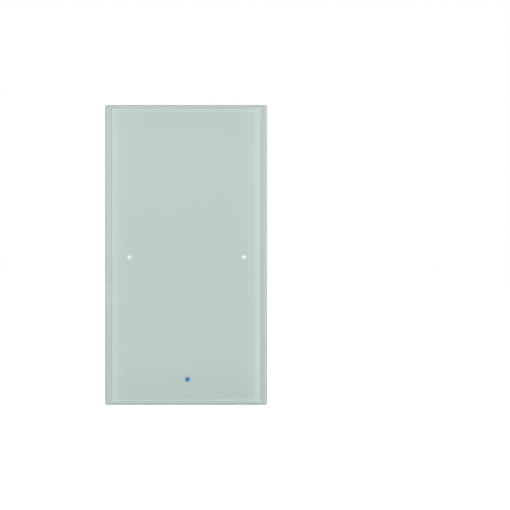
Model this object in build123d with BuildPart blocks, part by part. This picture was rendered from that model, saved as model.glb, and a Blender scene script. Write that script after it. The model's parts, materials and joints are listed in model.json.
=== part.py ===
from build123d import *
from math import hypot
import os

# Touch light switch: a tall glass front unit that snaps onto a flush relay insert.
# Lengths are in millimetres. X points right, Z points up and the glass faces -Y.
# A level is a distance in front of the wall, so levels inside the wall are negative.

# Driving dimensions of the whole switch: the fixing screws set the plate, and the plate the panel
box_screw_spacing = 60.0
plug_screw_spacing = 114.0
projection = 12.0
shadow_gap = 0.8
overrun = 1.0

# Glass
glass_thickness = 4.0
glass_corner_bevel = 0.4
glass_arris = 0.3

# Printed film, which leaves a clear margin of glass all round
film_thickness = 0.3
film_gap = 0.02
side_margin = 3.2
end_margin = 1.6

# Lights: one on each side of the middle and one near the lower edge
side_light_inset = 12.55
side_light_offset = 0.2
side_light_z = -1.1
lower_light_x = 0.6
lower_light_inset = 13.5
side_tip_radius = 0.75
lower_tip_radius = 1.2
guide_collar_step = 0.6
light_clearance = 0.05
guide_clearance = 0.1
led_length = 3.2
led_height = 0.9

# Bonding tape between the film and the frame
tape_thickness = 0.5
tape_edge_inset = 0.5
tape_window_inset = 0.3

# Front frame
frame_inset = 0.2
frame_wall = 1.6
frame_corner_bevel = 0.6
frame_rear_chamfer = 0.5
flange_thickness = 1.2
flange_width = 7.0
film_clearance = 0.1
shoulder_gap = 0.2
window_corner_bevel = 1.5
pry_notch_width = 14.0
pry_notch_depth = 1.6

# Screws that close the front unit
cover_screw_inset = 11.25
cover_screw_radius = 1.1
cover_screw_head_radius = 2.0
cover_screw_length = 4.8
cover_screw_hole_depth = 5.0
frame_boss_width = 4.8
thread_clearance = 0.05
screw_hole_clearance = 0.1
head_clearance = 0.05
recess_width = 0.6
recess_depth = 0.5
countersink_angle = 90

# Sensor board and what it carries
board_thickness = 1.0
board_edge_gap = 0.5
board_corner_bevel = 1.5
electrode_thickness = 0.1
electrode_side_margin = 2.55
electrode_end_margin = 22.5
electrode_spacing = 4.0
electrode_corner_bevel = 2.0
controller_size = 7.0
controller_height = 0.9
controller_z = 21.0
chip_length = 2.0
chip_width = 1.2
chip_height = 0.6
chip_spacing = 4.0
chip_row_z = 13.0

# Plug connector between the front unit and the insert
connector_z = -8.0
pin_spacing = 2.54
pin_columns = 5
pin_rows = 2
pin_size = 0.64
header_height = 2.54
pin_reach_level = -3.4
pin_hole_size = 1.0
pin_end_gap = 0.4
socket_edge = 0.1
socket_window_gap = 0.2
connector_window_gap = 1.2

# Rear cover of the front unit
cover_thickness = 1.2
cover_side_border = 4.05
cover_end_border = 11.5
cover_gap = 0.2
recess_gap = 0.5
recess_edge_gap = 0.5
pocket_half_width = 4.1
pocket_level = 4.4
pocket_wall = 0.8
pillar_width = 4.0
pillar_side_inset = 15.5
pillar_end_inset = 7.0
rib_thickness = 0.8
rib_height = 1.0
long_rib_x = 12.0
cross_rib_offset = 8.0

# Mounting plate
sheet_thickness = 1.2
box_screw_edge = 5.5
plug_screw_edge = 8.0
plate_corner_radius = 4.0
plate_rim_depth = 2.0
plate_edge_chamfer = 0.5
slot_radius = 2.1
slot_length = 6.2
plug_hole_radius = 2.1
plate_window_width = 15.0
plate_window_height = 17.0
plate_window_bevel = 2.0
plate_window_x = 12.0
plate_window_offset = 6.5

# Tongues of the plate and the springs that grip them
tongue_side_inset = 8.5
tongue_end_inset = 17.0
tongue_width = 7.0
tongue_level = 5.3
tongue_relief = 0.5
bend_radius = 0.2
grip_gap = 0.05
leaf_thickness = 0.3
spring_end_gap = 0.3
spring_lip = 1.5
spring_slot_gap = 0.1
collar_wall = 1.0

# Flush insert: its outline follows the parts that it holds
relay_floor_gap = 2.4
insert_corner_gap = 0.4
insert_wall = 1.6
insert_ledge = 0.6
lid_thickness = 1.6
lid_rim_height = 1.4
lid_rim_thickness = 1.0
lid_gap = 0.2
plateau_width = 32.0
plateau_height = 30.0
plateau_corner_radius = 2.0
plateau_wall = 1.2
plateau_gap = 0.5
lid_post_x = 12.0
lid_post_inset = 5.0
lid_post_width = 2.4
insert_edge_chamfer = 0.8

# Screws between the plate and the insert
insert_screw_edge = 4.0
insert_screw_radius = 1.25
insert_screw_head_radius = 2.3
insert_screw_length = 8.0
insert_boss_radius = 2.6
insert_boss_hole_depth = 8.0
boss_notch_gap = 0.3

# Power board and the rows of parts on its back
power_board_level = -5.0
power_board_thickness = 1.6
power_board_gap = 0.2
relay_width = 20.0
relay_length = 10.0
relay_height = 15.4
transformer_width = 13.0
transformer_length = 11.0
transformer_height = 11.0
transformer_core_width = 6.0
transformer_core_length = 12.5
smoothing_radius = 4.0
smoothing_height = 12.0
smoothing_spacing = 9.0
mains_capacitor_width = 13.0
mains_capacitor_length = 6.0
mains_capacitor_height = 11.0
varistor_radius = 3.5
varistor_thickness = 3.6
fuse_width = 8.4
fuse_length = 4.0
fuse_height = 7.0
boss_part_gap = 0.65
column_gap = 2.5
wall_part_gap = 2.05
winding_row_gap = 2.25
capacitor_row_gap = 1.4
fuse_row_gap = 1.5
varistor_inset = 1.25
part_edge_chamfer = 0.4
component_gap = 0.3
microcontroller_width = 7.0
microcontroller_height = 0.9
microcontroller_z = 5.0

# Programming button, its switch and the light beside it
button_x = -9.0
button_z = 7.0
button_radius = 1.4
button_gap = 0.1
button_collar_radius = 2.3
button_collar_height = 0.8
button_collar_gap = 0.3
button_set_back = 0.2
button_stem_radius = 1.1
button_travel = 0.6
switch_size = 6.0
switch_height = 3.5
plunger_radius = 1.6
plunger_gap = 0.1
plunger_proud = 0.6
plunger_length = 1.5
plunger_end_gap = 0.2
pipe_x = 9.0
pipe_radius = 1.0
pipe_gap = 0.05
pipe_collar_radius = 1.6
pipe_collar_height = 1.0
status_led_width = 1.6
status_led_length = 1.2
status_led_height = 0.8
pipe_end_gap = 0.2

# Screw terminals: a cage climbs its screw and grips the wire against a bar
terminal_count = 4
terminal_spacing = 9.0
cage_width = 7.0
cage_length = 6.0
cage_wall = 1.0
cage_nut_thickness = 1.6
cage_gap = 0.3
cage_travel = 2.5
wire_gap = 4.6
bar_thickness = 1.0
bar_width = 4.0
bar_end_gap = 0.3
bar_leg_gap = 0.6
clamp_screw_radius = 1.5
clamp_head_radius = 2.6
clamp_head_height = 2.0
clamp_slot_width = 0.8
clamp_slot_depth = 1.0
clamp_tip_gap = 0.1
clamp_well_depth = 3.5
clamp_shelf_thickness = 1.6
well_gap = 0.2
terminal_rib_thickness = 1.2
entry_width = 5.0
entry_edge_gap = 0.1
shelf_edge_gap = 0.5
lead_in = 0.6
gauge_length = 10.0
gauge_width = 1.4
gauge_depth = 0.5
gauge_offset = 6.0

# Levels of the front unit
glass_back_level = projection - glass_thickness
film_front_level = glass_back_level - film_gap
film_back_level = film_front_level - film_thickness
flange_front_level = film_back_level - tape_thickness
flange_back_level = flange_front_level - flange_thickness
frame_front_level = glass_back_level - shoulder_gap
frame_back_level = shadow_gap
board_front_level = film_back_level - electrode_thickness
board_back_level = board_front_level - board_thickness
cover_back_level = frame_back_level
cover_front_level = cover_back_level + cover_thickness
plate_front_level = plate_rim_depth
plate_back_level = plate_front_level - sheet_thickness
recess_level = plate_front_level + recess_gap
tub_front_level = recess_level + cover_thickness
spring_end_level = tongue_level + spring_end_gap
collar_level = spring_end_level + leaf_thickness + spring_slot_gap

# Levels of the insert
plateau_level = plate_front_level
plateau_roof_level = plateau_level - plateau_wall
lid_back_level = plate_back_level - lid_thickness
power_board_back_level = power_board_level - power_board_thickness
insert_floor_level = power_board_back_level - relay_height - relay_floor_gap
insert_back_level = insert_floor_level - insert_wall
clamp_bearing_level = insert_back_level + clamp_well_depth
clamp_shelf_level = clamp_bearing_level + clamp_shelf_thickness
cage_back_level = clamp_shelf_level + cage_gap + cage_travel
cage_nut_level = cage_back_level + cage_nut_thickness
bar_back_level = cage_nut_level + cage_gap
bar_front_level = bar_back_level + bar_thickness
cage_front_level = bar_front_level + wire_gap + cage_wall

# Outlines from the screws outwards: plate, tub, cover, frame and glass
plate_width = box_screw_spacing + 2 * box_screw_edge
plate_height = plug_screw_spacing + 2 * plug_screw_edge
tub_inner_width = plate_width + 2 * recess_edge_gap
tub_inner_height = plate_height + 2 * recess_edge_gap
tub_inner_radius = plate_corner_radius + recess_edge_gap
tub_width = tub_inner_width + 2 * cover_thickness
tub_height = tub_inner_height + 2 * cover_thickness
cover_width = tub_width + 2 * cover_side_border
cover_height = tub_height + 2 * cover_end_border
cavity_width = cover_width + 2 * cover_gap
cavity_height = cover_height + 2 * cover_gap
frame_width = cavity_width + 2 * frame_wall
frame_height = cavity_height + 2 * frame_wall
panel_width = frame_width + 2 * frame_inset
panel_height = frame_height + 2 * frame_inset

# Outlines that follow the panel
film_width = panel_width - 2 * side_margin
film_height = panel_height - 2 * end_margin
window_width = frame_width - 2 * flange_width
window_height = frame_height - 2 * flange_width
board_width = window_width - 2 * board_edge_gap
board_height = window_height - 2 * board_edge_gap
electrode_width = (board_width - electrode_spacing) / 2 - electrode_side_margin
electrode_height = board_height - 2 * electrode_end_margin
cover_screw_x = cover_width / 2 - cover_screw_inset
cover_screw_z = frame_height / 2 - flange_width + frame_boss_width / 2
tongue_x = plate_width / 2 - tongue_side_inset
tongue_z = plate_height / 2 - tongue_end_inset
pillar_x = plate_width / 2 - pillar_side_inset
pillar_z = plate_height / 2 - pillar_end_inset
cross_rib_z = tongue_z - cross_rib_offset
pocket_length = 2 * pocket_half_width + slot_length - 2 * slot_radius
header_width = pin_columns * pin_spacing
header_depth = pin_rows * pin_spacing
socket_width = header_width + 2 * socket_edge
socket_depth = header_depth + 2 * socket_edge
grip_half = sheet_thickness / 2 + grip_gap
leaf_half = grip_half + leaf_thickness

# Rows of the insert from its lower wall upwards: cages, bars, fuse, capacitors and windings
ledge_inset = insert_wall + insert_ledge
insert_height = (
    2 * ledge_inset + cage_gap + cage_length + bar_leg_gap + bar_thickness + fuse_row_gap
    + fuse_length + capacitor_row_gap + 2 * smoothing_radius + winding_row_gap
    + transformer_core_length + wall_part_gap
)
cage_low_z = ledge_inset + cage_gap - insert_height / 2
cage_middle_z = cage_low_z + cage_length / 2
cage_high_z = cage_low_z + cage_length
bar_leg_z = cage_high_z + bar_leg_gap
fuse_row_z = bar_leg_z + bar_thickness + fuse_row_gap + fuse_length / 2
capacitor_row_z = fuse_row_z + fuse_length / 2 + capacitor_row_gap + smoothing_radius
winding_row_z = insert_height / 2 - ledge_inset - wall_part_gap - transformer_core_length / 2
lid_post_z = insert_height / 2 - lid_post_inset

# Columns of the insert: the relay on the left and the transformer on the right
insert_width = (
    2 * (insert_screw_edge + insert_boss_radius + boss_part_gap)
    + relay_width + column_gap + transformer_width
)
insert_screw_x = insert_width / 2 - insert_screw_edge
column_x = insert_screw_x - insert_boss_radius - boss_part_gap
relay_x = relay_width / 2 - column_x
transformer_x = column_x - transformer_width / 2
varistor_x = varistor_inset + varistor_radius - column_x
fuse_x = relay_x + (relay_width + column_gap) / 2
terminal_half = ((terminal_count - 1) * terminal_spacing + cage_width) / 2
insert_radius = ledge_inset + insert_corner_gap + max(
    hypot(terminal_half, cage_low_z),
    hypot(column_x, winding_row_z + transformer_length / 2),
)
terminal_places = [
    ((index - (terminal_count - 1) / 2) * terminal_spacing, cage_middle_z)
    for index in range(terminal_count)
]

# Places that several pieces share
side_light_x = panel_width / 2 - side_light_inset
side_light_places = [
    (side_light_offset - side_light_x, side_light_z),
    (side_light_offset + side_light_x, side_light_z),
]
lower_light_place = (lower_light_x, lower_light_inset - panel_height / 2)
connector_place = (0, connector_z)
button_place = (button_x, button_z)
pipe_place = (pipe_x, button_z)

# The wall, seen from the room, and the back of the insert, seen from inside the wall
wall = Plane(origin=(0, 0, 0), x_dir=(1, 0, 0), z_dir=(0, -1, 0))
rear = Plane(origin=(0, 0, 0), x_dir=(-1, 0, 0), z_dir=(0, 1, 0))
standing = (Align.CENTER, Align.CENTER, Align.MIN)
hanging = (Align.CENTER, Align.CENTER, Align.MAX)


def level_section(height):
    """A plane level with the floor at a height, with the room ahead of the wall as its y."""
    return Plane(origin=(0, 0, height), x_dir=(1, 0, 0), z_dir=(0, 0, -1))


def corner_places(half_x, half_z):
    """Grid of four places, one in each quarter of the panel."""
    return GridLocations(2 * half_x, 2 * half_z, 2, 2)


def insert_screw_places():
    """Places of the screws that hold the insert, one on each side of its plateau."""
    return GridLocations(2 * insert_screw_x, insert_screw_x, 2, 1)


def bevelled_rectangle(width, height, bevel):
    """A rectangle whose corners are cut at 45 degrees, in the open sketch."""
    with BuildSketch(mode=Mode.PRIVATE) as outline:
        Rectangle(width, height)
        chamfer(outline.vertices(), length=bevel)
    add(outline.sketch)


def screw_pockets(wall_thickness):
    """Outlines of the pockets for the heads of all the wall screws, in the open sketch."""
    length = pocket_length + 2 * wall_thickness
    width = 2 * (pocket_half_width + wall_thickness)
    with GridLocations(box_screw_spacing, box_screw_spacing, 2, 1):
        Rectangle(length, width)
    with GridLocations(box_screw_spacing, box_screw_spacing, 1, 2):
        Rectangle(width, length)
    with GridLocations(plug_screw_spacing, plug_screw_spacing, 1, 2):
        Rectangle(width, width)


def insert_section(inset):
    """Outline of the flush insert, drawn inwards by the inset, in the open sketch."""
    Circle(insert_radius - inset)
    Rectangle(insert_width - 2 * inset, insert_height - 2 * inset, mode=Mode.INTERSECT)


# Glass front
with BuildPart() as front_glass:
    with BuildSketch(wall.offset(glass_back_level)):
        bevelled_rectangle(panel_width, panel_height, glass_corner_bevel)
    extrude(amount=glass_thickness)
    chamfer(front_glass.faces().filter_by(Axis.Y).edges(), length=glass_arris)

# Printed film with an aperture for each light
with BuildPart() as decor_film:
    with BuildSketch(wall.offset(film_back_level)):
        Rectangle(film_width, film_height)
        with Locations(*side_light_places):
            Circle(side_tip_radius + light_clearance, mode=Mode.SUBTRACT)
        with Locations(lower_light_place):
            Circle(lower_tip_radius + light_clearance, mode=Mode.SUBTRACT)
    extrude(amount=film_thickness)

# Bonding tape
with BuildPart() as bonding_tape:
    with BuildSketch(wall.offset(flange_front_level)):
        Rectangle(film_width - 2 * tape_edge_inset, film_height - 2 * tape_edge_inset)
        Rectangle(
            window_width + 2 * tape_window_inset,
            window_height + 2 * tape_window_inset,
            mode=Mode.SUBTRACT,
        )
    extrude(amount=tape_thickness)

# Front frame: a moulded ring whose flange carries the glass and whose bosses take the screws
with BuildPart() as front_frame:
    with BuildSketch(wall.offset(frame_back_level)):
        bevelled_rectangle(frame_width, frame_height, frame_corner_bevel)
    extrude(amount=frame_front_level - frame_back_level)
    chamfer(front_frame.faces().sort_by(Axis.Y)[-1].edges(), length=frame_rear_chamfer)
    with BuildSketch(wall.offset(flange_front_level)):
        Rectangle(film_width + 2 * film_clearance, film_height + 2 * film_clearance)
    extrude(amount=glass_thickness, mode=Mode.SUBTRACT)
    with BuildSketch(wall.offset(frame_back_level)):
        Rectangle(cavity_width, cavity_height)
    extrude(amount=flange_back_level - frame_back_level, mode=Mode.SUBTRACT)
    with BuildSketch(wall.offset(flange_back_level)):
        bevelled_rectangle(window_width, window_height, window_corner_bevel)
    extrude(amount=flange_thickness, mode=Mode.SUBTRACT)
    with BuildSketch(wall.offset(cover_front_level)):
        with corner_places(cover_screw_x, cover_screw_z):
            Rectangle(frame_boss_width, frame_boss_width)
    extrude(amount=flange_back_level - cover_front_level)
    with BuildSketch(wall.offset(cover_front_level)):
        with corner_places(cover_screw_x, cover_screw_z):
            Circle(cover_screw_radius + thread_clearance)
    extrude(amount=cover_screw_hole_depth - cover_thickness, mode=Mode.SUBTRACT)
    with BuildSketch(wall.offset(frame_back_level)):
        with Locations((0, (frame_wall - frame_height) / 2)):
            Rectangle(pry_notch_width, frame_wall + overrun)
    extrude(amount=pry_notch_depth, mode=Mode.SUBTRACT)

# Sensor board with a hole behind each light
with BuildPart() as sensor_board:
    with BuildSketch(wall.offset(board_back_level)):
        bevelled_rectangle(board_width, board_height, board_corner_bevel)
        with Locations(*side_light_places):
            Circle(side_tip_radius + guide_collar_step + guide_clearance, mode=Mode.SUBTRACT)
        with Locations(lower_light_place):
            Circle(lower_tip_radius + guide_collar_step + guide_clearance, mode=Mode.SUBTRACT)
    extrude(amount=board_thickness)

# Copper touch pads, one for each lamp, with room for the light guides
with BuildPart() as touch_electrodes:
    with BuildSketch(wall.offset(board_front_level)):
        with GridLocations(electrode_width + electrode_spacing, electrode_height, 2, 1):
            bevelled_rectangle(electrode_width, electrode_height, electrode_corner_bevel)
        with Locations(*side_light_places):
            Circle(side_tip_radius + guide_collar_step + guide_clearance, mode=Mode.SUBTRACT)
    extrude(amount=electrode_thickness)


def make_light_guide(place, tip_radius):
    """A stepped guide: its tip fills the film's aperture and its collar the board's hole."""
    with BuildPart() as guide:
        with BuildSketch(wall.offset(film_back_level)):
            with Locations(place):
                Circle(tip_radius)
        extrude(amount=film_thickness)
        with BuildSketch(wall.offset(board_back_level)):
            with Locations(place):
                Circle(tip_radius + guide_collar_step)
        extrude(amount=film_back_level - board_back_level)
    return guide


light_guide_left = make_light_guide(side_light_places[0], side_tip_radius)
light_guide_right = make_light_guide(side_light_places[1], side_tip_radius)
light_guide_lower = make_light_guide(lower_light_place, lower_tip_radius)


def make_leds(places, width):
    """Diode packages on the back of the sensor board, each over its guide."""
    with BuildPart(wall) as leds:
        with Locations(*[(x, z, board_back_level) for x, z in places]):
            Box(led_length, width, led_height, align=hanging)
    return leds


white_leds = make_leds(side_light_places, 2 * side_tip_radius)
blue_led = make_leds([lower_light_place], 2 * lower_tip_radius)

# Touch controller and the small chips beside it
with BuildPart(wall) as touch_controller:
    with Locations((0, controller_z, board_back_level)):
        Box(controller_size, controller_size, controller_height, align=hanging)

with BuildPart(wall) as board_passives:
    with Locations((0, chip_row_z, board_back_level)):
        with GridLocations(chip_spacing, chip_spacing, 4, 1):
            Box(chip_length, chip_width, chip_height, align=hanging)

# Plug connector of the front unit
with BuildPart() as header_base:
    with BuildSketch(wall.offset(board_back_level - header_height)):
        with Locations(connector_place):
            Rectangle(header_width, header_depth)
            with GridLocations(pin_spacing, pin_spacing, pin_columns, pin_rows):
                Rectangle(pin_size, pin_size, mode=Mode.SUBTRACT)
    extrude(amount=header_height)

with BuildPart() as header_pins:
    with BuildSketch(wall.offset(pin_reach_level)):
        with Locations(connector_place):
            with GridLocations(pin_spacing, pin_spacing, pin_columns, pin_rows):
                Rectangle(pin_size, pin_size)
    extrude(amount=board_back_level - pin_reach_level)

# Rear cover: a lid with a recess that goes round the mounting plate
with BuildPart() as rear_cover:
    with BuildSketch(wall.offset(cover_back_level)):
        Rectangle(cover_width, cover_height)
    extrude(amount=cover_thickness)
    with BuildSketch(wall.offset(cover_back_level)):
        RectangleRounded(tub_width, tub_height, tub_inner_radius + cover_thickness)
    extrude(amount=tub_front_level - cover_back_level)
    with BuildSketch(wall.offset(recess_level)):
        with GridLocations(2 * long_rib_x, tub_height, 2, 1):
            Rectangle(rib_thickness, tub_inner_height)
        with GridLocations(tub_width, 2 * cross_rib_z, 1, 2):
            Rectangle(tub_inner_width, rib_thickness)
    extrude(amount=cover_thickness + rib_height)
    with BuildSketch(wall.offset(recess_level)):
        screw_pockets(pocket_wall)
    extrude(amount=pocket_level + pocket_wall - recess_level)
    with BuildSketch(wall.offset(recess_level)):
        with corner_places(tongue_x, tongue_z):
            Rectangle(
                2 * (leaf_half + spring_slot_gap + collar_wall),
                tongue_width + 2 * (tongue_relief + collar_wall),
            )
    extrude(amount=collar_level - recess_level)
    with BuildSketch(wall.offset(recess_level)):
        with GridLocations(2 * pillar_x, pillar_z, 2, 3):
            Rectangle(pillar_width, rib_thickness)
            Rectangle(rib_thickness, pillar_width)
    extrude(amount=board_back_level - recess_level)
    with BuildSketch(wall.offset(cover_back_level)):
        RectangleRounded(tub_inner_width, tub_inner_height, tub_inner_radius)
    extrude(amount=recess_level - cover_back_level, mode=Mode.SUBTRACT)
    with BuildSketch(wall.offset(recess_level)):
        screw_pockets(0)
    extrude(amount=pocket_level - recess_level, mode=Mode.SUBTRACT)
    with BuildSketch(wall.offset(recess_level)):
        with corner_places(tongue_x, tongue_z):
            Rectangle(2 * (leaf_half + spring_slot_gap), tongue_width + 2 * tongue_relief)
        with Locations(connector_place):
            Rectangle(
                header_width + 2 * connector_window_gap,
                header_depth + 2 * connector_window_gap,
            )
    extrude(amount=glass_thickness, mode=Mode.SUBTRACT)
    with Locations(rear.offset(-cover_back_level)):
        with corner_places(cover_screw_x, cover_screw_z):
            CounterSinkHole(
                cover_screw_radius + screw_hole_clearance,
                cover_screw_head_radius + head_clearance,
                depth=cover_thickness + overrun,
                counter_sink_angle=countersink_angle,
            )


def make_countersunk_screws(places, head_level, radius, head_radius, length, plane):
    """Flat-head screws with a cross recess, driven along the plane's normal reversed."""
    with BuildPart(plane.offset(head_level)) as screws:
        with places:
            Cone(radius, head_radius, head_radius - radius, align=hanging)
            Cylinder(radius, length, align=hanging)
            Box(2 * radius, recess_width, recess_depth, align=hanging, mode=Mode.SUBTRACT)
            Box(recess_width, 2 * radius, recess_depth, align=hanging, mode=Mode.SUBTRACT)
    return screws


cover_screws = make_countersunk_screws(
    corner_places(cover_screw_x, cover_screw_z), -cover_back_level, cover_screw_radius,
    cover_screw_head_radius, cover_screw_length, rear,
)

# Clip springs: bent leaves that line the slots of the rear cover and grip the tongues
with BuildPart() as clip_springs:
    for height in (-tongue_z, tongue_z):
        with BuildSketch(level_section(height)) as spring_section:
            with Locations((-tongue_x, 0), (tongue_x, 0)):
                with Locations((0, recess_level - leaf_thickness)):
                    Rectangle(
                        2 * (leaf_half + spring_lip), leaf_thickness,
                        align=(Align.CENTER, Align.MIN),
                    )
                    Rectangle(
                        2 * leaf_half, spring_end_level - recess_level + 2 * leaf_thickness,
                        align=(Align.CENTER, Align.MIN),
                    )
                    Rectangle(
                        2 * grip_half, spring_end_level - recess_level + leaf_thickness,
                        align=(Align.CENTER, Align.MIN), mode=Mode.SUBTRACT,
                    )
            chamfer(spring_section.vertices().group_by(Axis.Y)[-1], length=leaf_thickness)
        extrude(amount=tongue_width / 2, both=True)

# Mounting plate: a steel sheet with a folded rim and four tongues bent forward
with BuildPart() as mounting_plate:
    with BuildSketch(wall):
        RectangleRounded(plate_width, plate_height, plate_corner_radius)
    extrude(amount=plate_front_level)
    chamfer(mounting_plate.faces().sort_by(Axis.Y)[0].edges(), length=plate_edge_chamfer)
    with BuildSketch(wall):
        RectangleRounded(
            plate_width - 2 * sheet_thickness,
            plate_height - 2 * sheet_thickness,
            plate_corner_radius - sheet_thickness,
        )
    extrude(amount=plate_back_level, mode=Mode.SUBTRACT)
    with BuildSketch(wall.offset(plate_back_level)):
        RectangleRounded(
            plateau_width + 2 * plateau_gap,
            plateau_height + 2 * plateau_gap,
            plateau_corner_radius + plateau_gap,
        )
        with GridLocations(box_screw_spacing, box_screw_spacing, 2, 1):
            SlotOverall(slot_length, 2 * slot_radius)
        with GridLocations(box_screw_spacing, box_screw_spacing, 1, 2):
            SlotOverall(slot_length, 2 * slot_radius, rotation=90)
        with GridLocations(plug_screw_spacing, plug_screw_spacing, 1, 2):
            Circle(plug_hole_radius)
        with corner_places(plate_window_x, tongue_z - plate_window_offset):
            bevelled_rectangle(plate_window_width, plate_window_height, plate_window_bevel)
        for side in (-1, 1):
            bend_x = side * (tongue_x + sheet_thickness / 2 + bend_radius)
            with Locations((bend_x, -tongue_z), (bend_x, tongue_z)):
                Rectangle(
                    tongue_level - plate_front_level + sheet_thickness + bend_radius,
                    tongue_width + 2 * tongue_relief,
                    align=(Align.MAX if side > 0 else Align.MIN, Align.CENTER),
                )
    extrude(amount=sheet_thickness, mode=Mode.SUBTRACT)
    for height in (-tongue_z, tongue_z):
        with BuildSketch(level_section(height)):
            with BuildLine():
                bend_x = tongue_x + sheet_thickness / 2 + bend_radius
                bend_level = plate_front_level + bend_radius
                Polyline(
                    (bend_x - bend_radius, bend_level),
                    (bend_x - bend_radius, tongue_level),
                    (bend_x - bend_radius - sheet_thickness, tongue_level),
                    (bend_x - bend_radius - sheet_thickness, bend_level),
                )
                CenterArc((bend_x, bend_level), bend_radius, 180, 90)
                CenterArc((bend_x, bend_level), bend_radius + sheet_thickness, 180, 90)
                Line((bend_x, plate_back_level), (bend_x, plate_front_level))
            make_face()
            mirror(about=Plane.YZ)
        extrude(amount=tongue_width / 2, both=True)
    with Locations(wall.offset(plate_front_level)):
        with insert_screw_places():
            CounterSinkHole(
                insert_screw_radius + screw_hole_clearance,
                insert_screw_head_radius + head_clearance,
                depth=sheet_thickness + overrun,
                counter_sink_angle=countersink_angle,
            )

insert_screws = make_countersunk_screws(
    insert_screw_places(), plate_front_level, insert_screw_radius,
    insert_screw_head_radius, insert_screw_length, wall,
)

# Lid of the insert: its plateau stands in the plate's opening
with BuildPart() as insert_lid:
    with BuildSketch(wall.offset(lid_back_level)):
        insert_section(0)
    extrude(amount=lid_thickness)
    with BuildSketch(wall.offset(plate_back_level)):
        RectangleRounded(plateau_width, plateau_height, plateau_corner_radius)
    extrude(amount=sheet_thickness)
    with BuildSketch(wall.offset(lid_back_level)):
        RectangleRounded(
            plateau_width - 2 * plateau_wall,
            plateau_height - 2 * plateau_wall,
            plateau_corner_radius - plateau_wall,
        )
    extrude(amount=plateau_roof_level - lid_back_level, mode=Mode.SUBTRACT)
    with BuildSketch(wall.offset(lid_back_level - lid_rim_height)) as rim_section:
        insert_section(insert_wall + lid_gap)
        with BuildSketch(mode=Mode.PRIVATE) as rim_inside:
            insert_section(insert_wall + lid_gap + lid_rim_thickness)
        add(rim_inside.sketch, mode=Mode.SUBTRACT)
        with insert_screw_places():
            Circle(insert_boss_radius + boss_notch_gap, mode=Mode.SUBTRACT)
    extrude(amount=lid_rim_height)
    with BuildSketch(wall.offset(power_board_level)):
        with corner_places(lid_post_x, lid_post_z):
            Rectangle(lid_post_width, lid_post_width)
    extrude(amount=lid_back_level - power_board_level)
    with BuildSketch(wall.offset(lid_back_level)):
        with insert_screw_places():
            Circle(insert_screw_radius + screw_hole_clearance)
        with Locations(connector_place):
            Rectangle(socket_width + 2 * socket_window_gap, socket_depth + 2 * socket_window_gap)
        with Locations(button_place):
            Circle(button_radius + button_gap)
        with Locations(pipe_place):
            Circle(pipe_radius + pipe_gap)
    extrude(amount=plateau_level - lid_back_level, mode=Mode.SUBTRACT)

# Housing of the insert: a moulded cup with screw bosses, a ledge for the board and terminal bays
with BuildPart() as insert_housing:
    with BuildSketch(wall.offset(insert_back_level)):
        insert_section(0)
    extrude(amount=lid_back_level - insert_back_level)
    chamfer(insert_housing.faces().sort_by(Axis.Y)[-1].edges(), length=insert_edge_chamfer)
    with BuildSketch(wall.offset(power_board_back_level)):
        insert_section(insert_wall)
    extrude(amount=lid_back_level - power_board_back_level, mode=Mode.SUBTRACT)
    with BuildSketch(wall.offset(clamp_shelf_level)):
        insert_section(ledge_inset)
    extrude(amount=power_board_back_level - clamp_shelf_level, mode=Mode.SUBTRACT)
    with BuildSketch(wall.offset(insert_floor_level)):
        insert_section(ledge_inset)
        with Locations((0, cage_high_z + shelf_edge_gap)):
            Rectangle(
                insert_width, insert_height,
                align=(Align.CENTER, Align.MIN), mode=Mode.INTERSECT,
            )
    extrude(amount=clamp_shelf_level - insert_floor_level, mode=Mode.SUBTRACT)
    with BuildSketch(wall.offset(insert_floor_level)):
        with insert_screw_places():
            Circle(insert_boss_radius)
    extrude(amount=lid_back_level - insert_floor_level)
    with BuildSketch(wall.offset(clamp_shelf_level)):
        with Locations((0, cage_low_z - cage_gap - insert_ledge)):
            with GridLocations(terminal_spacing, terminal_spacing, terminal_count + 1, 1):
                Rectangle(
                    terminal_rib_thickness,
                    cage_length + cage_gap + insert_ledge,
                    align=(Align.CENTER, Align.MIN),
                )
    extrude(amount=cage_front_level - clamp_shelf_level)
    with BuildSketch(wall.offset(lid_back_level - insert_boss_hole_depth)):
        with insert_screw_places():
            Circle(insert_screw_radius + thread_clearance)
    extrude(amount=insert_boss_hole_depth, mode=Mode.SUBTRACT)
    with BuildSketch(wall.offset(insert_back_level)):
        with Locations(*terminal_places):
            Circle(clamp_head_radius + well_gap)
    extrude(amount=clamp_well_depth, mode=Mode.SUBTRACT)
    with BuildSketch(wall.offset(clamp_bearing_level)):
        with Locations(*terminal_places):
            Circle(clamp_screw_radius + screw_hole_clearance)
    extrude(amount=clamp_shelf_thickness, mode=Mode.SUBTRACT)
    with BuildSketch(level_section(-insert_height / 2)):
        with Locations(*[(x, bar_front_level + wire_gap / 2) for x, z in terminal_places]):
            Rectangle(entry_width, wire_gap - 2 * entry_edge_gap)
    extrude(amount=-ledge_inset, mode=Mode.SUBTRACT)

    with BuildSketch(level_section(-insert_height / 2)):
        with Locations(*[(x, bar_front_level + wire_gap / 2) for x, z in terminal_places]):
            Rectangle(entry_width + 2 * lead_in, wire_gap - 2 * entry_edge_gap + 2 * lead_in)
    extrude(amount=-lead_in, mode=Mode.SUBTRACT, taper=45)
    with BuildSketch(wall.offset(insert_back_level)):
        with Locations((0, cage_high_z + gauge_offset)):
            Rectangle(gauge_length, gauge_width)
    extrude(amount=gauge_depth, mode=Mode.SUBTRACT)

# Power board, notched round the screw bosses
with BuildPart() as power_board:
    with BuildSketch(wall.offset(power_board_back_level)):
        insert_section(insert_wall + power_board_gap)
        with insert_screw_places():
            Circle(insert_boss_radius + boss_notch_gap, mode=Mode.SUBTRACT)
    extrude(amount=power_board_thickness)

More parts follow.
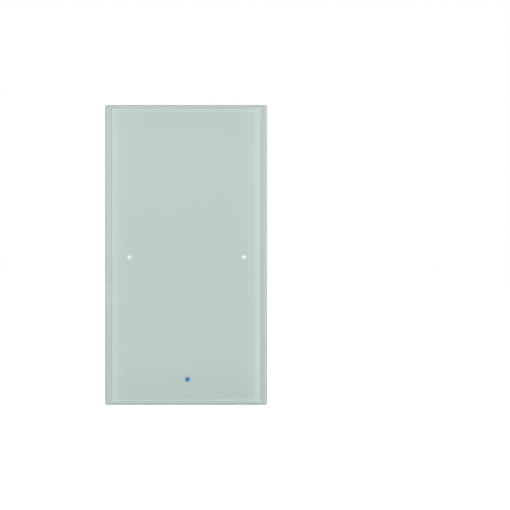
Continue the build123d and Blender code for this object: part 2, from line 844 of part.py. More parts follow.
# Socket that takes the pins of the front unit
with BuildPart() as socket_strip:
    with BuildSketch(wall.offset(power_board_level)):
        with Locations(connector_place):
            Rectangle(socket_width, socket_depth)
    extrude(amount=plateau_level - power_board_level)
    with BuildSketch(wall.offset(pin_reach_level - pin_end_gap)):
        with Locations(connector_place):
            with GridLocations(pin_spacing, pin_spacing, pin_columns, pin_rows):
                Rectangle(pin_hole_size, pin_hole_size)
    extrude(amount=plateau_level - pin_reach_level + pin_end_gap, mode=Mode.SUBTRACT)


def make_block(place, width, length, height):
    """A moulded block on the back of the power board, with its upright edges broken."""
    with BuildPart(wall) as block:
        with Locations((*place, power_board_back_level)):
            Box(width, length, height, align=hanging)
        chamfer(block.edges().filter_by(Axis.Y), length=part_edge_chamfer)
    return block


relay = make_block((relay_x, winding_row_z), relay_width, relay_length, relay_height)
mains_capacitor = make_block(
    (transformer_x, capacitor_row_z),
    mains_capacitor_width, mains_capacitor_length, mains_capacitor_height,
)
fuse = make_block((fuse_x, fuse_row_z), fuse_width, fuse_length, fuse_height)

with BuildPart(wall) as microcontroller:
    with Locations((0, microcontroller_z, power_board_level)):
        Box(microcontroller_width, microcontroller_width, microcontroller_height, align=standing)

with BuildPart(wall) as status_led:
    with Locations((*pipe_place, power_board_level)):
        Box(status_led_width, status_led_length, status_led_height, align=standing)

# Transformer: a wound former inside a core that stands proud of it above and below
with BuildPart(wall) as supply_transformer:
    with Locations((transformer_x, winding_row_z, power_board_back_level)):
        Box(transformer_width, transformer_length, transformer_height, align=hanging)
        Box(
            transformer_core_width, transformer_core_length, transformer_height,
            align=hanging,
        )

# Smoothing capacitors stand side by side
with BuildPart(wall) as smoothing_capacitors:
    with Locations((relay_x, capacitor_row_z, power_board_back_level)):
        with GridLocations(smoothing_spacing, smoothing_spacing, 2, 1):
            Cylinder(smoothing_radius, smoothing_height, align=hanging)
    chamfer(smoothing_capacitors.edges().group_by(Axis.Y)[-1], length=part_edge_chamfer)

# Varistor: a disc on edge over the board
with BuildPart() as varistor:
    with BuildSketch(level_section(fuse_row_z)):
        with Locations((varistor_x, power_board_back_level - component_gap - varistor_radius)):
            Circle(varistor_radius)
    extrude(amount=varistor_thickness / 2, both=True)
    chamfer(varistor.edges().filter_by(GeomType.CIRCLE), length=part_edge_chamfer)

# Push switch under the programming button
switch_level = power_board_level + switch_height
plunger_level = switch_level + plunger_proud
with BuildPart(wall) as tact_switch:
    with Locations((*button_place, power_board_level)):
        Box(switch_size, switch_size, switch_height, align=standing)
    with Locations((*button_place, switch_level)):
        Cylinder(
            plunger_radius + plunger_gap,
            plunger_length - plunger_proud + button_travel + plunger_end_gap,
            align=hanging, mode=Mode.SUBTRACT,
        )

with BuildPart(wall) as switch_plunger:
    with Locations((*button_place, plunger_level)):
        Cylinder(plunger_radius, plunger_length, align=hanging)

# Programming button: its collar is trapped under the roof of the plateau
collar_top_level = plateau_roof_level - button_collar_gap
button_top_level = plateau_level - button_set_back
with BuildPart(wall) as programming_button:
    with Locations((*button_place, button_top_level)):
        Cylinder(button_radius, button_top_level - collar_top_level, align=hanging)
    with Locations((*button_place, collar_top_level)):
        Cylinder(button_collar_radius, button_collar_height, align=hanging)
    with Locations((*button_place, plunger_level)):
        Cylinder(
            button_stem_radius,
            collar_top_level - button_collar_height - plunger_level,
            align=standing,
        )

# Light pipe beside the button
pipe_foot_level = power_board_level + status_led_height + pipe_end_gap
with BuildPart(wall) as status_light_pipe:
    with Locations((*pipe_place, plateau_level)):
        Cylinder(pipe_radius, plateau_level - pipe_foot_level, align=hanging)
    with Locations((*pipe_place, plateau_roof_level)):
        Cylinder(pipe_collar_radius, pipe_collar_height, align=hanging)

# Terminal bars: each stands on the power board and runs into its cage
with BuildPart(wall) as terminal_bars:
    for bar_x, bar_z in terminal_places:
        with Locations((bar_x, bar_leg_z, bar_back_level)):
            Box(
                bar_width, bar_thickness, power_board_back_level - bar_back_level,
                align=(Align.CENTER, Align.MIN, Align.MIN),
            )
            Box(
                bar_width, cage_length + bar_leg_gap - bar_end_gap, bar_thickness,
                align=(Align.CENTER, Align.MAX, Align.MIN),
            )


def make_cage(place):
    """A square tube, open towards the wire, whose rear wall is the nut of its screw."""
    cage_height = cage_front_level - cage_back_level
    with BuildPart(wall) as cage:
        with Locations((*place, cage_back_level)):
            Box(cage_width, cage_length, cage_height, align=standing)
            Cylinder(
                clamp_screw_radius + thread_clearance, cage_nut_thickness,
                align=standing, mode=Mode.SUBTRACT,
            )
        with Locations((*place, cage_nut_level)):
            Box(
                cage_width - 2 * cage_wall, cage_length,
                cage_height - cage_nut_thickness - cage_wall,
                align=standing, mode=Mode.SUBTRACT,
            )
    return cage


def make_clamp_screw(place):
    """A slotted pan-head screw, whose head is reached through the well in the housing."""
    with BuildPart(wall) as screw:
        with Locations((*place, clamp_bearing_level)):
            Cylinder(clamp_head_radius, clamp_head_height, align=hanging)
            Cylinder(
                clamp_screw_radius,
                bar_back_level - clamp_tip_gap - clamp_bearing_level,
                align=standing,
            )
        with Locations((*place, clamp_bearing_level - clamp_head_height)):
            Box(
                2 * clamp_head_radius, clamp_slot_width, clamp_slot_depth,
                align=standing, mode=Mode.SUBTRACT,
            )
    return screw


pieces = {
    "front_glass": front_glass,
    "decor_film": decor_film,
    "bonding_tape": bonding_tape,
    "front_frame": front_frame,
    "sensor_board": sensor_board,
    "touch_electrodes": touch_electrodes,
    "light_guide_left": light_guide_left,
    "light_guide_right": light_guide_right,
    "light_guide_lower": light_guide_lower,
    "white_leds": white_leds,
    "blue_led": blue_led,
    "touch_controller": touch_controller,
    "board_passives": board_passives,
    "header_base": header_base,
    "header_pins": header_pins,
    "rear_cover": rear_cover,
    "cover_screws": cover_screws,
    "clip_springs": clip_springs,
    "mounting_plate": mounting_plate,
    "insert_screws": insert_screws,
    "insert_lid": insert_lid,
    "insert_housing": insert_housing,
    "power_board": power_board,
    "socket_strip": socket_strip,
    "microcontroller": microcontroller,
    "status_led": status_led,
    "status_light_pipe": status_light_pipe,
    "tact_switch": tact_switch,
    "switch_plunger": switch_plunger,
    "programming_button": programming_button,
    "relay": relay,
    "supply_transformer": supply_transformer,
    "smoothing_capacitors": smoothing_capacitors,
    "mains_capacitor": mains_capacitor,
    "varistor": varistor,
    "fuse": fuse,
    "terminal_bars": terminal_bars,
}
for number, terminal_place in enumerate(terminal_places, start=1):
    pieces[f"clamp_cage_{number}"] = make_cage(terminal_place)
    pieces[f"clamp_screw_{number}"] = make_clamp_screw(terminal_place)

os.makedirs("parts", exist_ok=True)
for name, piece in pieces.items():
    piece.part.label = name
    export_step(piece.part, f"parts/{name}.step")
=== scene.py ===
import json
import math

import bpy
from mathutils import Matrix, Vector


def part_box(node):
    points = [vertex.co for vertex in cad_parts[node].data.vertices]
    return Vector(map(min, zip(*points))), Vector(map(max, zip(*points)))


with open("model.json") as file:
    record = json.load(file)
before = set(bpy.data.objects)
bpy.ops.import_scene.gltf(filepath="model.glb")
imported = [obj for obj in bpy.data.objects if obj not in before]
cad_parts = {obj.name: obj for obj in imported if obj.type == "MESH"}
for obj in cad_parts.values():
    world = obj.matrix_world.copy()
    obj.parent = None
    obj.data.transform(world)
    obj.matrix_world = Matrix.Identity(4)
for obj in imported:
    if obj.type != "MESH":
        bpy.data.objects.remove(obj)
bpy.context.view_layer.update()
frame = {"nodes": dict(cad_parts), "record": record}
nodes = frame["nodes"]

# Photograph: its frame, the scale at the glass, and where the camera stands
FRAME_PIXELS = 510
PIXELS_PER_METRE = 1869.0
VIEW_OFFSET = 0.0369
VIEW_DISTANCE = 1.5
SENSOR_WIDTH = 36.0
NEAR_CLIP = 0.01
FAR_CLIP = 100.0

# Room
FLOOR_HEIGHT = -0.22
FLOOR_SIZE = 40.0
FLOOR_DARK = (0.78, 0.78, 0.78, 1.0)
FLOOR_PALE = (0.82, 0.82, 0.82, 1.0)
FLOOR_GLOW_NEAR = 0.25
FLOOR_GLOW_FAR = 0.60
FLOOR_GLOW_REACH = (0.25, 1.6)
ROOM_LIGHT = 0.58

# Colours: white, black, and what the front of the glass and its edge or back let through
WHITE = (1.0, 1.0, 1.0, 1.0)
BLACK = (0.0, 0.0, 0.0, 1.0)
FRONT_TINT = (0.97, 0.99, 0.98, 1.0)
EDGE_TINT = (0.98, 1.0, 0.99, 1.0)

# Glass: how squarely a face has to look to the front or back to belong to it, and the slots
GLASS_INDEX = 1.5
FACE_SQUARENESS = 0.9
GROUND_SLOT = 1
BONDED_SLOT = 2

# Colour sockets of a mixing node, by number: the two that go in and the one that comes out
FIRST_COLOUR = 6
SECOND_COLOUR = 7
MIXED_COLOUR = 2

# Painted light near the sides of the print, scattered in from the glass edges, by x: where each
# band begins, where it is full, and its weight
PAINTED_SIDE_LIGHT = (
    (-0.0362, -0.0378, 0.053), (-0.0290, -0.0366, 0.026),
    (0.0358, 0.0376, 0.080), (0.0300, 0.0356, 0.035),
)
# Tint of the painted side light above and below, and the height where the tint changes
PAINTED_LIGHT_TONE_ABOVE = (1.36, 1.0, 1.16, 1.0)
PAINTED_LIGHT_TONE_BELOW = (1.48, 1.46, 1.46, 1.0)
PAINTED_LIGHT_TONE_CHANGE = 0.30

# Painted light near the ends of the print, scattered in from the glass edges, inwards from its
# edge: begin, full, weight
PAINTED_TOP_LIGHT = (0.0022, 0.0018, 0.094)
PAINTED_BOTTOM_LIGHT = (0.0018, 0.0005, 0.165)
PAINTED_ENDS_LIGHT = (0.0008, 0.0003, 0.050)

# Painted shade lines on the frame beside the print and a painted light line further out, outwards
# from the print: begin, full, change of tone
INNER_SHADE_LINE = (0.0001, 0.0007, -0.045)
OUTER_LIGHT_LINE = (0.0014, 0.0022, 0.070)
LEFT_SHADE_LINE = (0.0018, 0.0023, -0.045)
HEAD_SHADE_LINE = (0.0001, 0.0005, -0.030)
FOOT_SHADE_LINE = (0.0004, 0.0009, -0.050)
GREEN_REACH = 0.036
GREEN_LEFT = 0.020

# Painted glow of a light on the print: outer and inner radius
PAINTED_GLOW_RADIUS = 0.0024
PAINTED_GLOW_CORE = 0.0007

# The blue diode sits a little off the axis of its guide: to the right and up
BLUE_SHIFT = (0.00020, 0.00006)

glass_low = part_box("front_glass")[0]
film_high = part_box("decor_film")[1]
front_y = glass_low[1]
film_half_width = film_high[0]
film_half_height = film_high[2]


def tint(red, green, blue):
    """A colour on the 0 to 255 display scale, as linear red, green, blue and alpha."""
    values = []
    for channel in (red, green, blue):
        c = channel / 255
        values.append(c / 12.92 if c <= 0.04045 else ((c + 0.055) / 1.055) ** 2.4)
    return (*values, 1.0)


def light_middle(node_name, shift=(0.0, 0.0)):
    """Middle of a light's glow, seen from the front: its guide's axis, moved by the shift."""
    low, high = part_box(node_name)
    return ((low[0] + high[0]) / 2 + shift[0], 0.0, (low[2] + high[2]) / 2 + shift[1])


class Shading:
    """A node tree, with short calls for the nodes that it needs."""

    def __init__(self, tree):
        self.tree = tree
        self.tree.nodes.clear()

    def node(self, kind, inputs=(), **settings):
        made = self.tree.nodes.new(kind)
        for key, value in settings.items():
            setattr(made, key, value)
        for key, value in dict(inputs).items():
            self.feed(made.inputs[key], value)
        return made

    def feed(self, socket, value):
        if isinstance(value, bpy.types.NodeSocket):
            self.tree.links.new(value, socket)
        else:
            socket.default_value = value

    def math(self, operation, a, b=0.0, clamp=False):
        made = self.node("ShaderNodeMath", operation=operation, use_clamp=clamp)
        self.feed(made.inputs[0], a)
        self.feed(made.inputs[1], b)
        return made.outputs["Value"]

    def add(self, first, *others):
        for other in others:
            first = self.math("ADD", first, other)
        return first

    def times(self, value, factor):
        return self.math("MULTIPLY", value, factor)

    def span(self, value, low, high, to_low=0.0, to_high=1.0, smooth=True):
        """The value's way from low to high, spread from to_low to to_high and held outside."""
        inputs = {"Value": value, "From Min": low, "From Max": high,
                  "To Min": to_low, "To Max": to_high}
        kind = "SMOOTHSTEP" if smooth else "LINEAR"
        made = self.node("ShaderNodeMapRange", inputs, interpolation_type=kind)
        return made.outputs["Result"]

    def seen(self):
        """One for rays that reach the eye straight, mirrored or through glass, else nought."""
        rays = self.node("ShaderNodeLightPath").outputs
        bent = self.math("ADD", rays["Is Glossy Ray"], rays["Is Transmission Ray"])
        eye = self.math("ADD", rays["Is Camera Ray"], bent, clamp=True)
        return self.times(eye, self.math("LESS_THAN", rays["Diffuse Depth"], 0.5))


class Finish(Shading):
    """A material under construction, placed by the object's own coordinates."""

    def __init__(self, name):
        self.material = bpy.data.materials.new(name)
        self.material.use_nodes = True
        super().__init__(self.material.node_tree)
        self.out = self.node("ShaderNodeOutputMaterial")
        self.place = self.node("ShaderNodeTexCoord").outputs["Object"]

    def axes(self):
        split = self.node("ShaderNodeSeparateXYZ", {"Vector": self.place})
        return split.outputs["X"], split.outputs["Z"]

    def vector(self, x=0.0, y=0.0, z=0.0):
        return self.node("ShaderNodeCombineXYZ", {"X": x, "Y": y, "Z": z}).outputs["Vector"]

    def vectors(self, operation, values, output="Vector"):
        made = self.node("ShaderNodeVectorMath", operation=operation)
        for socket, value in zip(made.inputs, values):
            self.feed(socket, value)
        return made.outputs[output]

    def noise(self, scale, detail=3.0, roughness=0.5, vector=None):
        inputs = {"Vector": vector or self.place, "Scale": scale, "Detail": detail,
                  "Roughness": roughness}
        return self.node("ShaderNodeTexNoise", inputs).outputs["Fac"]

    def stretched(self, x, y, z):
        inputs = {"Vector": self.place, "Scale": (x, y, z)}
        return self.node("ShaderNodeMapping", inputs).outputs["Vector"]

    def cells(self, scale, output):
        inputs = {"Vector": self.place, "Scale": scale}
        return self.node("ShaderNodeTexVoronoi", inputs).outputs[output]

    def ramp(self, value, stops):
        made = self.node("ShaderNodeValToRGB", {"Fac": value})
        ramp = made.color_ramp
        while len(ramp.elements) < len(stops):
            ramp.elements.new(0.5)
        for element, (position, colour) in zip(ramp.elements, stops):
            element.position = position
            element.color = colour
        return made.outputs["Color"]

    def blend(self, factor, first, second, kind="MIX"):
        made = self.node("ShaderNodeMix", data_type="RGBA", blend_type=kind)
        self.feed(made.inputs[0], factor)
        self.feed(made.inputs[FIRST_COLOUR], first)
        self.feed(made.inputs[SECOND_COLOUR], second)
        return made.outputs[MIXED_COLOUR]

    def relief(self, height, depth, strength=1.0):
        inputs = {"Height": height, "Distance": depth, "Strength": strength}
        return self.node("ShaderNodeBump", inputs).outputs["Normal"]

    def shader(self, **inputs):
        named = {key.replace("_", " ").title().replace("Ior", "IOR"): value
                 for key, value in inputs.items()}
        return self.node("ShaderNodeBsdfPrincipled", named).outputs["BSDF"]

    def clear(self, colour=WHITE):
        return self.node("ShaderNodeBsdfTransparent", {"Color": colour}).outputs["BSDF"]

    def mixed(self, factor, first, second):
        made = self.node("ShaderNodeMixShader", {"Fac": factor})
        self.feed(made.inputs[1], first)
        self.feed(made.inputs[2], second)
        return made.outputs["Shader"]

    def done(self, surface):
        self.tree.links.new(surface, self.out.inputs["Surface"])
        return self.material


def moulded(name, colour, roughness, grain, depth, variation):
    """Moulded plastic: a satin grain, faint mottling and rubbed patches."""
    f = Finish(name)
    darker = tuple(c * (1 - variation) for c in colour[:3]) + (1.0,)
    paler = tuple(min(c * (1 + variation), 1.0) for c in colour[:3]) + (1.0,)
    mottle = f.noise(scale=55.0, detail=4.0, roughness=0.6)
    base = f.ramp(mottle, [(0.3, darker), (0.7, paler)])
    patches = f.noise(scale=130.0, roughness=0.55)
    rubbed = f.span(patches, 0.35, 0.7, roughness - 0.06, roughness + 0.08)
    fine = f.noise(scale=grain, detail=2.0)
    surface = f.shader(base_color=base, roughness=rubbed, normal=f.relief(fine, depth))
    return f.done(surface)


def zinc_plate(name, dark, pale, roughness):
    """Zinc-plated sheet: soft crystalline patches and fine drawing lines."""
    f = Finish(name)
    patch = f.cells(scale=900.0, output="Color")
    crystal = f.node("ShaderNodeRGBToBW", {"Color": patch}).outputs["Val"]
    cloud = f.noise(scale=420.0, detail=4.0)
    tone = f.add(f.times(crystal, 0.3), f.times(cloud, 0.7))
    base = f.ramp(tone, [(0.2, dark), (0.8, pale)])
    lines = f.noise(scale=900.0, detail=2.0, roughness=0.6, vector=f.stretched(1.0, 1.0, 0.06))
    rough = f.span(f.noise(scale=420.0), 0.3, 0.7, roughness - 0.03, roughness + 0.05)
    surface = f.shader(base_color=base, metallic=1.0, roughness=rough,
                       normal=f.relief(lines, depth=0.00002, strength=0.6))
    return f.done(surface)


def turned_metal(name, dark, pale, roughness):
    """Small metal parts: bright, with faint tarnish and scratches."""
    f = Finish(name)
    tarnish = f.noise(scale=350.0, detail=4.0, roughness=0.6)
    base = f.ramp(tarnish, [(0.3, dark), (0.7, pale)])
    scratches = f.noise(scale=2600.0, detail=2.0, vector=f.stretched(1.0, 0.15, 1.0))
    rough = f.span(f.noise(scale=700.0), 0.3, 0.7, roughness - 0.06, roughness + 0.12)
    surface = f.shader(base_color=base, metallic=1.0, roughness=rough,
                       normal=f.relief(scratches, depth=0.00001, strength=0.6))
    return f.done(surface)


def glazed(f, glass, passing):
    """Glass that lets the light of the room straight through to what lies behind it."""
    clear = f.clear(passing)
    rays = f.node("ShaderNodeLightPath").outputs
    for name in ("Is Shadow Ray", "Is Diffuse Ray"):
        glass = f.mixed(rays[name], glass, clear)
    return f.done(glass)


def make_glass():
    """Clear polished float glass."""
    f = Finish("clear_glass")
    glass = f.shader(base_color=WHITE, transmission_weight=1.0, ior=GLASS_INDEX, roughness=0.0)
    return glazed(f, glass, FRONT_TINT)


def make_ground_edge():
    """Ground and seamed edge of the glass: frosted, greener than the face, with painted shade
    below.
    """
    f = Finish("ground_edge")
    grit = f.ramp(f.noise(scale=900.0, roughness=0.6), [
        (0.3, tint(167, 182, 177)), (0.7, tint(179, 193, 188)),
    ])
    # Painted shade: the edge darkens towards the bottom
    lower = f.span(f.axes()[1], 0.0, -film_half_height)
    base = f.blend(lower, grit, tint(132, 143, 139))
    pits = f.relief(f.noise(scale=6000.0, detail=2.0), depth=0.00002)
    glass = f.shader(base_color=base, transmission_weight=1.0, ior=GLASS_INDEX, roughness=0.45,
                     normal=pits)
    return glazed(f, glass, EDGE_TINT)


def make_bonded_face():
    """Back of the glass where the print is bonded on: no air gap, so nothing is mirrored there."""
    f = Finish("bonded_face")
    return f.done(f.clear(EDGE_TINT))


def make_film():
    """Printed film: a pale grey-green field, darker below, with painted light along its borders and
    painted glows around the lights.
    """
    f = Finish("printed_film")
    x, z = f.axes()
    height = f.span(z, -film_half_height, film_half_height, smooth=False)
    field = f.ramp(height, [
        (0.0, tint(181, 193, 191)), (0.15, tint(189, 201, 198)), (0.36, tint(190, 200, 198)),
        (0.68, tint(192, 202, 200)), (0.86, tint(193, 203, 200)), (1.0, tint(189, 199, 197)),
    ])

    # Painted light scattered in from the glass edges: paler bands along the sides of the print,
    # with one tint above and another below
    sides = f.add(*[f.span(x, begin, full, 0.0, weight) for begin, full, weight in PAINTED_SIDE_LIGHT])
    lower = f.span(height, PAINTED_LIGHT_TONE_CHANGE, 0.0)
    tone = f.blend(lower, PAINTED_LIGHT_TONE_ABOVE, PAINTED_LIGHT_TONE_BELOW)
    tinted_side_light = f.vectors("MULTIPLY", (tone, f.vector(sides, sides, sides)))

    # Painted light along the top and bottom ends of the print
    painted_end_light = []
    for inward, (begin, full, weight) in (
        (f.math("SUBTRACT", film_half_height, z), PAINTED_TOP_LIGHT),
        (f.add(z, film_half_height), PAINTED_BOTTOM_LIGHT),
        (f.math("SUBTRACT", film_half_height, f.math("ABSOLUTE", z)), PAINTED_ENDS_LIGHT),
    ):
        painted_end_light.append(f.span(inward, begin, full, 0.0, weight))
    pigment = f.noise(scale=1400.0, roughness=0.6)
    cloud = f.noise(scale=28.0, detail=2.0)
    level = f.add(1.0, *painted_end_light,
                  f.span(pigment, 0.25, 0.75, -0.008, 0.008, smooth=False),
                  f.span(cloud, 0.3, 0.7, -0.006, 0.006, smooth=False))
    lift = f.vectors("ADD", (tinted_side_light, f.vector(level, level, level)))
    base = f.blend(1.0, field, lift, "MULTIPLY")

    # Painted glow that each light spreads on the print around its guide
    flat = f.vector(x=x, z=z)
    for middle, painted_glow_tone, weight in (
        (light_middle("light_guide_left"), tint(222, 238, 233), 0.34),
        (light_middle("light_guide_right"), tint(222, 238, 233), 0.34),
        (light_middle("light_guide_lower", BLUE_SHIFT), tint(112, 168, 196), 0.90),
    ):
        away = f.vectors("DISTANCE", (flat, middle), "Value")
        painted_glow = f.span(away, PAINTED_GLOW_RADIUS, PAINTED_GLOW_CORE, 0.0, weight)
        base = f.blend(painted_glow, base, painted_glow_tone)
    grain = f.relief(f.noise(scale=2600.0, detail=2.0), depth=0.00001, strength=0.5)
    return f.done(f.shader(base_color=base, roughness=0.55, normal=grain))


def make_frame():
    """Frame behind the clear margin of the glass: painted shade beside the print and lower down,
    painted light further out.
    """
    f = Finish("frame_plastic")
    x, z = f.axes()
    height = f.span(z, -film_half_height, film_half_height, smooth=False)
    # Painted shade: the frame's tone darkens lower down
    tone = f.ramp(height, [
        (0.0, tint(183, 194, 190)), (0.12, tint(185, 197, 193)), (0.40, tint(190, 201, 198)),
        (0.62, tint(192, 201, 199)), (1.0, tint(194, 200, 199)),
    ])
    right = f.add(x, -film_half_width)
    left = f.math("SUBTRACT", -film_half_width, x)
    above = f.add(z, -film_half_height)
    below = f.math("SUBTRACT", -film_half_height, z)
    # Painted shade lines right of, left of, above and below the print, and a painted light line
    # further out on the right
    inner, outer, side, head, foot = [
        f.span(outward, begin, full, 0.0, change) for outward, (begin, full, change) in (
            (right, INNER_SHADE_LINE), (right, OUTER_LIGHT_LINE), (left, LEFT_SHADE_LINE),
            (above, HEAD_SHADE_LINE), (below, FOOT_SHADE_LINE),
        )
    ]
    dark = f.add(foot, head, side)
    mottle = f.span(f.noise(scale=55.0, detail=4.0, roughness=0.6), 0.3, 0.7, 0.990, 1.020)
    level = f.add(inner, outer, mottle, dark)
    greener = f.span(x, GREEN_REACH, -GREEN_REACH, 0.0, GREEN_LEFT)
    cooler = f.add(level, greener, f.times(outer, 0.2), f.times(dark, 0.7))
    base = f.blend(1.0, tone, f.vector(level, cooler, cooler), "MULTIPLY")
    rubbed = f.span(f.noise(scale=130.0, roughness=0.55), 0.35, 0.7, 0.36, 0.50)
    fine = f.relief(f.noise(scale=4200.0, detail=2.0), depth=0.00002)
    return f.done(f.shader(base_color=base, roughness=rubbed, normal=fine))


def make_guide(name, middles, core, rim, core_radius, rim_radius):
    """Light guide: lit evenly, with a core and a rim told apart by the distance from its middle."""
    f = Finish(name)
    x, z = f.axes()
    flat = f.vector(x=x, z=z)
    nearest = 1.0
    for middle in middles:
        away = f.vectors("DISTANCE", (flat, middle), "Value")
        nearest = f.math("MINIMUM", away, nearest)
    outward = f.span(nearest, core_radius, rim_radius, smooth=False)
    glow = f.blend(outward, core, rim)
    surface = f.shader(base_color=(0.005, 0.005, 0.005, 1.0), roughness=0.6,
                       specular_ior_level=0.0, emission_color=glow, emission_strength=1.0)
    return f.done(surface)


def make_board():
    """Circuit board: solder mask over a faint weave, with copper tracks showing through."""
    f = Finish("circuit_board")
    upright = f.node("ShaderNodeMapping", {"Vector": f.place, "Rotation": (math.pi / 2, 0.0, 0.0)})
    tracks = f.node("ShaderNodeTexBrick", {
        "Vector": upright.outputs["Vector"], "Scale": 170.0, "Mortar Size": 0.035,
        "Mortar Smooth": 0.3, "Color1": BLACK, "Color2": BLACK, "Mortar": WHITE,
    }).outputs["Fac"]
    kept = f.math("GREATER_THAN", f.noise(scale=45.0, detail=1.0), 0.5)
    line = f.times(tracks, kept)
    mask = f.ramp(f.noise(scale=60.0), [(0.3, tint(14, 66, 40)), (0.7, tint(20, 82, 50))])
    base = f.blend(line, mask, tint(44, 118, 72))
    height = f.add(f.times(line, 0.8), f.times(f.noise(scale=1500.0), 0.2))
    surface = f.shader(base_color=base, roughness=0.32, normal=f.relief(height, depth=0.00004))
    return f.done(surface)


def make_tape():
    """Closed-cell foam: many small cells."""
    f = Finish("foam_tape")
    cell = f.cells(scale=2600.0, output="Distance")
    base = f.ramp(cell, [(0.1, tint(150, 163, 158)), (0.7, tint(184, 196, 191))])
    surface = f.shader(base_color=base, roughness=0.85, normal=f.relief(cell, depth=0.0001))
    return f.done(surface)


def make_clear_plastic():
    """Clear acrylic of the light pipe."""
    f = Finish("clear_guide")
    haze = f.span(f.noise(scale=500.0, detail=2.0), 0.3, 0.7, 0.08, 0.16)
    surface = f.shader(base_color=tint(226, 232, 229), roughness=haze, subsurface_weight=0.3,
                       subsurface_scale=0.001)
    return f.done(surface)


def make_diode():
    """Diode package: a pale case with a phosphor window."""
    f = Finish("diode")
    cell = f.cells(scale=900.0, output="Distance")
    base = f.ramp(cell, [(0.2, tint(236, 216, 120)), (0.6, tint(232, 232, 226))])
    fine = f.relief(f.noise(scale=3000.0), depth=0.00001)
    return f.done(f.shader(base_color=base, roughness=0.3, normal=fine))


def make_winding():
    """Transformer: yellow tape wound in layers over the core."""
    f = Finish("transformer_plastic")
    layers = f.noise(scale=1200.0, detail=2.0, roughness=0.6, vector=f.stretched(0.05, 1.0, 1.0))
    base = f.ramp(layers, [(0.3, tint(176, 146, 44)), (0.7, tint(214, 184, 70))])
    surface = f.shader(base_color=base, roughness=0.4, normal=f.relief(layers, depth=0.00006))
    return f.done(surface)


finishes = {
    "clear_glass": make_glass(),
    "printed_film": make_film(),
    "foam_tape": make_tape(),
    "frame_plastic": make_frame(),
    "circuit_board": make_board(),
    "clear_guide": make_clear_plastic(),
    "diode": make_diode(),
    "transformer_plastic": make_winding(),
    "white_guide": make_guide(
        "white_guide",
        middles=[light_middle("light_guide_left"), light_middle("light_guide_right")],
        core=(0.96, 1.0, 0.98, 1.0), rim=(0.90, 1.0, 0.95, 1.0),
        core_radius=0.0003, rim_radius=0.0008),
    "blue_guide": make_guide(
        "blue_guide",
        middles=[light_middle("light_guide_lower", BLUE_SHIFT)],
        core=tint(0, 88, 152), rim=tint(84, 156, 182),
        core_radius=0.0003, rim_radius=0.0015),
}

# Plastics: name, colour, roughness, scale and depth of the grain, and mottling
for plastic in (
    ("chip_black", tint(34, 34, 37), 0.50, 5000.0, 0.00002, 0.10),
    ("connector_black", tint(30, 31, 33), 0.42, 4500.0, 0.00002, 0.10),
    ("cover_plastic", tint(74, 77, 79), 0.48, 3200.0, 0.00004, 0.07),
    ("insert_plastic", tint(206, 208, 206), 0.46, 3600.0, 0.00004, 0.03),
    ("button_plastic", tint(178, 38, 30), 0.30, 5000.0, 0.00001, 0.05),
    ("relay_plastic", tint(40, 62, 120), 0.30, 4200.0, 0.00002, 0.06),
    ("capacitor_sleeve", tint(38, 42, 52), 0.28, 3000.0, 0.00001, 0.08),
    ("capacitor_box", tint(196, 158, 48), 0.34, 4000.0, 0.00002, 0.06),
    ("varistor_blue", tint(44, 96, 158), 0.30, 1200.0, 0.00008, 0.06),
    ("fuse_brown", tint(96, 58, 42), 0.40, 3600.0, 0.00003, 0.08),
):
    finishes[plastic[0]] = moulded(*plastic)

# Metals: how each is finished, name, darker and paler tone, and roughness
for finish, name, dark, pale, roughness in (
    (zinc_plate, "zinc_steel", tint(182, 186, 188), tint(202, 205, 207), 0.34),
    (zinc_plate, "terminal_steel", tint(170, 168, 158), tint(214, 211, 200), 0.30),
    (turned_metal, "copper", tint(196, 118, 84), tint(226, 150, 112), 0.30),
    (turned_metal, "gilt_pins", tint(214, 176, 96), tint(240, 208, 132), 0.22),
    (turned_metal, "spring_steel", tint(150, 148, 144), tint(190, 188, 182), 0.30),
    (turned_metal, "brass", tint(196, 168, 98), tint(224, 198, 128), 0.30),
):
    finishes[name] = finish(name, dark, pale, roughness)

slots = {part["node"]: part["material_slot"] for part in frame["record"]["subparts"]}
for name, slot in slots.items():
    mesh = nodes[name].data
    mesh.materials.clear()
    mesh.materials.append(finishes[slot])

# The sides and arrises of the glass are ground, and the print is bonded to its back
glass_faces = nodes["front_glass"].data
glass_faces.materials.append(make_ground_edge())
glass_faces.materials.append(make_bonded_face())
for face in glass_faces.polygons:
    if abs(face.normal.y) < FACE_SQUARENESS:
        face.material_index = GROUND_SLOT
    elif face.normal.y > 0:
        face.material_index = BONDED_SLOT


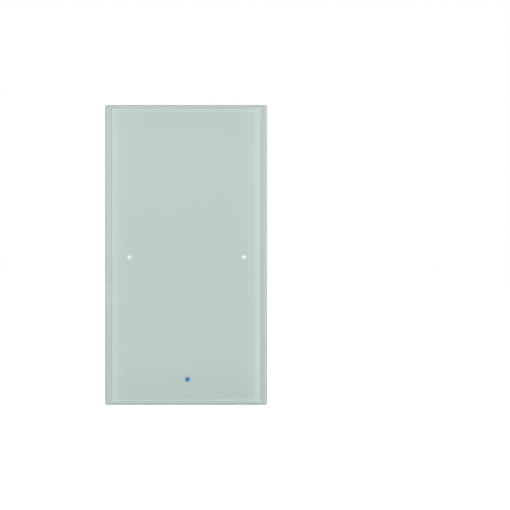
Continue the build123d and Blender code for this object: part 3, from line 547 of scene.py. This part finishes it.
def make_floor():
    """A wide pale floor that looks white where nothing shades it, and is open from below."""
    f = Finish("studio_floor")
    base = f.ramp(f.noise(scale=3.0, detail=2.0), [(0.3, FLOOR_DARK), (0.7, FLOOR_PALE)])
    diffuse = f.node("ShaderNodeBsdfDiffuse", {"Color": base, "Roughness": 0.5})
    distance = f.vectors("LENGTH", (f.place,), "Value")
    far = f.span(distance, *FLOOR_GLOW_REACH, FLOOR_GLOW_NEAR, FLOOR_GLOW_FAR)
    glow = f.node("ShaderNodeEmission", {"Color": WHITE, "Strength": f.times(f.seen(), far)})
    both = f.node("ShaderNodeAddShader")
    f.feed(both.inputs[0], diffuse.outputs["BSDF"])
    f.feed(both.inputs[1], glow.outputs["Emission"])
    below = f.node("ShaderNodeNewGeometry").outputs["Backfacing"]
    return f.done(f.mixed(below, both.outputs["Shader"], f.clear()))


bpy.ops.mesh.primitive_grid_add(x_subdivisions=4, y_subdivisions=4, size=FLOOR_SIZE,
                                location=(0.0, 0.0, FLOOR_HEIGHT))
floor = bpy.context.object
floor.name = "studio_floor"
floor.data.materials.append(make_floor())

# World: white to the camera, in gloss and through glass, and a plain grey level as light
world = bpy.data.worlds.new("studio")
bpy.context.scene.world = world
world.use_nodes = True
sky = Shading(world.node_tree)
strength = sky.span(sky.seen(), 0.0, 1.0, ROOM_LIGHT, 1.0, smooth=False)
background = sky.node("ShaderNodeBackground", {"Color": WHITE, "Strength": strength})
sky.node("ShaderNodeOutputWorld", {"Surface": background.outputs["Background"]})

# Square soft lights aimed at the middle of the object: name, place, size and power
for name, place, size, power in (
    ("key", (-1.2, -1.6, 1.4), 2.4, 28.0),
    ("fill", (1.5, -1.4, 0.4), 1.8, 7.6),
    ("rear_left", (-1.5, 1.2, 1.5), 1.0, 17.0),
    ("rear_right", (1.6, 1.2, 0.2), 1.2, 4.0),
):
    light_data = bpy.data.lights.new(name, "AREA")
    light_data.shape = "SQUARE"
    light_data.size = size
    light_data.energy = power
    light = bpy.data.objects.new(name, light_data)
    light.location = place
    light.rotation_euler = (-Vector(place)).to_track_quat("-Z", "Y").to_euler()
    bpy.context.scene.collection.objects.link(light)

# Camera: straight ahead of the glass, with the panel left of the middle as photographed
camera_data = bpy.data.cameras.new("camera")
camera_data.sensor_width = SENSOR_WIDTH
camera_data.sensor_fit = "AUTO"
camera_data.lens = SENSOR_WIDTH * VIEW_DISTANCE * PIXELS_PER_METRE / FRAME_PIXELS
camera_data.clip_start = NEAR_CLIP
camera_data.clip_end = FAR_CLIP
camera = bpy.data.objects.new("camera", camera_data)
camera.location = (VIEW_OFFSET, front_y - VIEW_DISTANCE, 0.0)
camera.rotation_euler = (math.pi / 2, 0.0, 0.0)
bpy.context.scene.collection.objects.link(camera)
bpy.context.scene.camera = camera

bpy.context.scene.view_settings.view_transform = "Standard"
